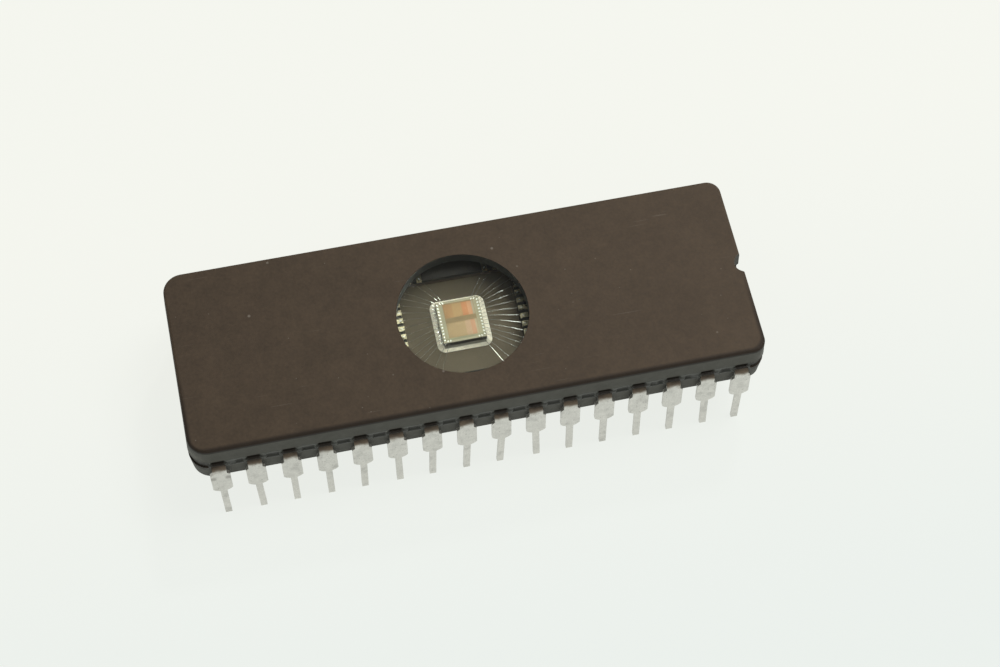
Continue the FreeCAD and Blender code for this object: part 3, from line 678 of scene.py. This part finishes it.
def add_bond(point, level, heading, length):
    """Presses the flat, rounded foot of a wedge bond at one end of a wire."""
    place = (point[0] * MM, point[1] * MM, (level + 0.008) * MM)
    bpy.ops.mesh.primitive_cube_add(size=1, location=place)
    foot = bpy.context.object
    foot.scale = (length * MM, BOND_WIDTH * MM, BOND_THICKNESS * MM)
    foot.rotation_euler.z = heading
    bpy.ops.object.transform_apply(location=False, rotation=True, scale=True)
    bpy.ops.object.mode_set(mode="EDIT")
    bpy.ops.mesh.select_all(action="SELECT")
    bpy.ops.mesh.bevel(offset=BOND_EDGE * MM, segments=2, affect="EDGES")
    bpy.ops.object.mode_set(mode="OBJECT")
    return foot


def string_side(name, node, bonds, sizes, finish):
    """Makes the wires of one side of the die, with their bonds, as one piece."""
    made = []
    for pad, foot in bonds:
        heading = math.atan2(foot[1] - pad[1], foot[0] - pad[0])
        made.append(add_wire(pad, foot, sizes))
        made.append(add_bond(pad, DIE_TOP, heading, PAD_BOND_LENGTH))
        made.append(add_bond(foot, FRAME_TOP, heading, FINGER_BOND_LENGTH))
    select_only(*made)
    bpy.ops.object.join()
    bpy.ops.object.shade_smooth_by_angle(angle=math.radians(40))
    wires = settle(bpy.context.object, name, finish)
    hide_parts(node)
    return wires


def smooth_step(value, low, high):
    t = np.clip((value - low) / (high - low), 0.0, 1.0)
    return t * t * (3.0 - 2.0 * t)


def root_glass_depth(x, z, sizes):
    """Gives how far out one side's glass stands: flush over the cap's bevel, deep, then at the base."""
    cap_side = BODY_HALF_WIDTH + (CAP_TOP - z) * DRAFT
    base_side = BODY_HALF_WIDTH + (z - BASE_BOTTOM) * DRAFT
    last_lead = (LEADS_PER_ROW - 1) / 2
    row_end = last_lead * LEAD_PITCH
    nearest = np.clip(np.round(x / LEAD_PITCH - 0.5) + 0.5, -last_lead, last_lead) * LEAD_PITCH
    beside = np.abs(x - nearest)
    wander = 0.02 * np.sin(1.9 * x) + 0.02 * np.sin(4.3 * x + 1.0) + 0.012 * np.sin(9.1 * x + 2.0)
    inner, outer = 0.5 * NECK_WIDTH + 0.01, 0.5 * NECK_WIDTH + sizes.pillar_width
    outer = outer + PILLAR_EXTRA_WIDTH * (x > nearest)
    pillar = smooth_step(beside, inner - PILLAR_SOFTNESS, inner)
    pillar = pillar * (1.0 - smooth_step(beside, outer, outer + 0.16))
    over_lead = 1.0 - smooth_step(beside, inner - PILLAR_SOFTNESS, inner + 0.06)
    ends = 1.0 - smooth_step(np.abs(x), row_end + 0.52, row_end + 0.66)
    lip = CAP_BOTTOM + wander + GLASS_LIP_RISE * over_lead
    foot = GLASS_FOOT + 0.5 * wander
    flush = smooth_step(z, lip - 0.10, lip + 0.12) * ends
    covered = 1.0 - smooth_step(z, foot - 0.04, foot + 0.03)
    depth = sizes.gap_line + 0.05 * flush * (1.0 - over_lead)
    over_bevel = cap_side - 0.05 * (1.0 - smooth_step(z, 6.36, SEAM_TOP)) + GLASS_SKIN
    depth = np.where(z > SEAM_MIDDLE, depth + (over_bevel - depth) * flush, depth)
    depth = np.where(z <= SEAM_MIDDLE, depth + (base_side + GLASS_SKIN - depth) * covered, depth)
    swell = np.exp(-((z - SWELL_LEVEL) / SWELL_HEIGHT) ** 2)
    depth = depth + (cap_side + sizes.pillar_bulge - depth) * pillar * swell
    filled = smooth_step(np.sin(7.3 * nearest + 1.3) + 0.6 * np.sin(4.1 * x), 0.2, 1.3)
    depth = depth + (np.maximum(depth, cap_side - 0.02) - depth) * 0.8 * filled * (1.0 - over_lead)
    sunk = smooth_step(z, 6.70 + wander, 6.84 + wander) + (1.0 - smooth_step(z, 5.70, 5.82 + wander))
    sunk = np.clip(sunk + (1.0 - ends) * smooth_step(z, 6.35, 6.45), 0.0, 1.0)
    inside = np.minimum(cap_side, BODY_HALF_WIDTH + (CAP_TOP - CAP_BOTTOM) * DRAFT) - 0.10
    inside = np.where(z > SEAM_MIDDLE, np.minimum(inside, cap_side - 0.05), base_side - 0.05)
    return depth + (inside - depth) * sunk


def add_root_glass(name, side, sizes, finish):
    """Lays the glass that crept out of the seal along one row, over the cap's bevel and beside the roots."""
    middle = (GLASS_LOW + GLASS_HIGH) / 2
    bpy.ops.mesh.primitive_grid_add(
        x_subdivisions=GLASS_COLUMNS, y_subdivisions=GLASS_ROWS, size=MM, location=(0, 0, middle * MM),
        rotation=(math.radians(90), 0, 0))
    glass = bpy.context.object
    glass.scale = (2 * ROOT_GLASS_HALF_LENGTH, GLASS_HIGH - GLASS_LOW, 1)
    bpy.ops.object.transform_apply(location=True, rotation=True, scale=True)
    places = np.empty(len(glass.data.vertices) * 3)
    glass.data.vertices.foreach_get("co", places)
    places = places.reshape(-1, 3) / MM
    places[:, 1] = side * root_glass_depth(places[:, 0], places[:, 2], sizes)
    glass.data.vertices.foreach_set("co", (places * MM).ravel())
    bpy.ops.object.mode_set(mode="EDIT")
    bpy.ops.mesh.select_all(action="SELECT")
    if side > 0:
        bpy.ops.mesh.flip_normals()
    bpy.ops.object.mode_set(mode="OBJECT")
    wall = glass.modifiers.new("wall", "SOLIDIFY")
    wall.thickness = GLASS_WALL * MM
    wall.offset = -1.0
    bpy.ops.object.modifier_apply(modifier="wall")
    bpy.ops.object.shade_smooth_by_angle(angle=math.radians(60))
    return settle(glass, name, finish)


class CHIP_OT_ceramic(bpy.types.Operator):
    """Gives base and cap their pressed ceramic"""

    bl_idname = "chip.ceramic"
    bl_label = "Ceramic"

    def execute(self, context):
        ceramic_finish(context.scene.chip_colours).put_on("ceramic_base", "ceramic_cap")
        return {"FINISHED"}


class CHIP_OT_leads(bpy.types.Operator):
    """Gives the 32 leads their tin plate"""

    bl_idname = "chip.leads"
    bl_label = "Leads"

    def execute(self, context):
        names = [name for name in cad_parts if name.startswith("lead_")]
        lead_finish(context.scene.chip_colours).put_on(*names)
        return {"FINISHED"}


class CHIP_OT_seal(bpy.types.Operator):
    """Gives the seal its glass and lays the glass around the leads' roots"""

    bl_idname = "chip.seal"
    bl_label = "Sealing glass"

    def execute(self, context):
        finish = seal_finish(context.scene.chip_colours)
        finish.put_on("sealing_glass")
        add_root_glass("root_glass_near", -1, context.scene.chip_sizes, finish)
        add_root_glass("root_glass_far", 1, context.scene.chip_sizes, finish)
        return {"FINISHED"}


class CHIP_OT_window(bpy.types.Operator):
    """Gives the window its clear glass"""

    bl_idname = "chip.window"
    bl_label = "Window"

    def execute(self, context):
        window_finish().put_on("window_lens")
        return {"FINISHED"}


class CHIP_OT_die(bpy.types.Operator):
    """Gives the die its array pattern and the silver glass its texture"""

    bl_idname = "chip.die"
    bl_label = "Die"

    def execute(self, context):
        die_finish().put_on("silicon_die")
        attach_finish().put_on("die_attach")
        return {"FINISHED"}


class CHIP_OT_wires(bpy.types.Operator):
    """Strings the bond wires between die and fingers"""

    bl_idname = "chip.wires"
    bl_label = "Bond wires"

    def execute(self, context):
        finish = wire_finish()
        sizes = context.scene.chip_sizes
        string_side("wires_left", "bond_wires_left", end_bonds(-1), sizes, finish)
        string_side("wires_right", "bond_wires_right", end_bonds(1), sizes, finish)
        string_side("wires_near", "bond_wires_near", side_bonds(-1), sizes, finish)
        string_side("wires_far", "bond_wires_far", side_bonds(1), sizes, finish)
        return {"FINISHED"}


def floor_finish(colour):
    """Pale floor: seen in its own tone with a share of the chip's shadow on it, and clear from below."""
    finish = Finish("pale_floor", tuple(colour), 0.9)
    glow = finish.node("ShaderNodeBsdfPrincipled", {}, Roughness=1.0)
    glow.inputs["Base Color"].default_value = (0.0, 0.0, 0.0, 1.0)
    glow.inputs["Specular IOR Level"].default_value = 0.0
    glow.inputs["Emission Strength"].default_value = 1.0
    tint = finish.mix(finish.y.below(-6.0, 26.0), BACKDROP, tuple(colour))
    finish.connect(glow.inputs["Emission Color"], tint)
    paths = finish.node("ShaderNodeLightPath")
    seen = Amount(finish, paths.outputs["Is Camera Ray"])
    seen = seen.at_least(paths.outputs["Is Glossy Ray"]).at_least(paths.outputs["Is Transmission Ray"])
    mixed = finish.node("ShaderNodeMixShader", {}, seen * 0.90, finish.shader.outputs[0], glow.outputs[0])
    beneath = finish.node("ShaderNodeNewGeometry").outputs["Backfacing"]
    clear = finish.node("ShaderNodeBsdfTransparent")
    surface = finish.node("ShaderNodeMixShader", {}, beneath, mixed.outputs[0], clear.outputs[0])
    finish.tree.links.new(surface.outputs[0], finish.output.inputs["Surface"])
    return finish


def dress_sky(tree):
    """Makes the room's walls bright and its ceiling dim, as over a light table."""
    place = tree.nodes.new("ShaderNodeTexCoord")
    facing = tree.nodes.new("ShaderNodeVectorMath")
    facing.operation = "DOT_PRODUCT"
    facing.inputs[1].default_value = CEILING_DIRECTION
    ramp = tree.nodes.new("ShaderNodeMapRange")
    ramp.inputs["From Min"].default_value = -0.2
    ramp.inputs["From Max"].default_value = 0.95
    ramp.inputs["To Min"].default_value = WALL_STRENGTH
    ramp.inputs["To Max"].default_value = CEILING_STRENGTH
    sky = tree.nodes["Background"]
    sky.inputs["Color"].default_value = SKY_COLOUR
    tree.links.new(place.outputs["Generated"], facing.inputs[0])
    tree.links.new(facing.outputs["Value"], ramp.inputs["Value"])
    tree.links.new(ramp.outputs["Result"], sky.inputs["Strength"])
    backdrop = tree.nodes.new("ShaderNodeBackground")
    backdrop.inputs["Color"].default_value = (*BACKDROP, 1.0)
    paths = tree.nodes.new("ShaderNodeLightPath")
    seen = tree.nodes.new("ShaderNodeMixShader")
    tree.links.new(paths.outputs["Is Camera Ray"], seen.inputs[0])
    tree.links.new(sky.outputs["Background"], seen.inputs[1])
    tree.links.new(backdrop.outputs["Background"], seen.inputs[2])
    tree.links.new(seen.outputs["Shader"], tree.nodes["World Output"].inputs["Surface"])


def add_softbox(name, direction, size, power, colour):
    """Hangs a square lamp in a direction from the chip, facing it."""
    heading = Vector(direction).normalized()
    bpy.ops.object.light_add(type="AREA", location=heading * LAMP_DISTANCE)
    lamp = bpy.context.object
    lamp.name = name
    lamp.rotation_euler = heading.to_track_quat("Z", "Y").to_euler()
    lamp.data.size = size
    lamp.data.energy = power
    lamp.data.color = colour


class CHIP_OT_stage(bpy.types.Operator):
    """Lays the floor and sets the light and the camera"""

    bl_idname = "chip.stage"
    bl_label = "Stage"

    def execute(self, context):
        bpy.ops.mesh.primitive_plane_add(size=FLOOR_SIZE, location=(0, 0, 0))
        floor = bpy.context.object
        floor.name = "pale_floor"
        floor.data.materials.append(floor_finish(context.scene.chip_colours.floor).material)
        world = bpy.data.worlds.new("studio")
        world.use_nodes = True
        context.scene.world = world
        dress_sky(world.node_tree)
        for name, lamp in LAMPS.items():
            add_softbox(name, *lamp)
        bpy.ops.object.camera_add(
            location=[place * MM for place in CAMERA_PLACE_MM],
            rotation=[math.radians(turn) for turn in CAMERA_TURN])
        camera = bpy.context.object
        camera.name = "photo_camera"
        camera.data.lens = CAMERA_LENS
        camera.data.sensor_width = CAMERA_SENSOR
        camera.data.clip_start = CAMERA_CLIP_START
        context.scene.camera = camera
        context.scene.view_settings.view_transform = "Standard"
        return {"FINISHED"}


class CHIP_PT_panel(bpy.types.Panel):
    """Lists the steps that dress the chip"""

    bl_label = "Memory chip"
    bl_idname = "CHIP_PT_panel"
    bl_space_type = "VIEW_3D"
    bl_region_type = "UI"
    bl_category = "Memory chip"

    def draw(self, context):
        for group in (context.scene.chip_colours, context.scene.chip_sizes):
            for key in group.__annotations__:
                self.layout.prop(group, key)
        for step in STEPS:
            self.layout.operator(step.bl_idname)


STEPS = (
    CHIP_OT_ceramic,
    CHIP_OT_leads,
    CHIP_OT_seal,
    CHIP_OT_window,
    CHIP_OT_die,
    CHIP_OT_wires,
    CHIP_OT_stage,
)
CLASSES = (ChipColours, ChipSizes, *STEPS, CHIP_PT_panel)


def register():
    for item in CLASSES:
        bpy.utils.register_class(item)
    bpy.types.Scene.chip_colours = bpy.props.PointerProperty(type=ChipColours)
    bpy.types.Scene.chip_sizes = bpy.props.PointerProperty(type=ChipSizes)


def unregister():
    del bpy.types.Scene.chip_sizes
    del bpy.types.Scene.chip_colours
    for item in reversed(CLASSES):
        bpy.utils.unregister_class(item)


def main():
    """Dresses the chip step by step."""
    register()
    deselect_all()
    bpy.ops.chip.ceramic()
    bpy.ops.chip.leads()
    bpy.ops.chip.seal()
    bpy.ops.chip.window()
    bpy.ops.chip.die()
    bpy.ops.chip.wires()
    bpy.ops.chip.stage()


if __name__ == "__main__":
    main()
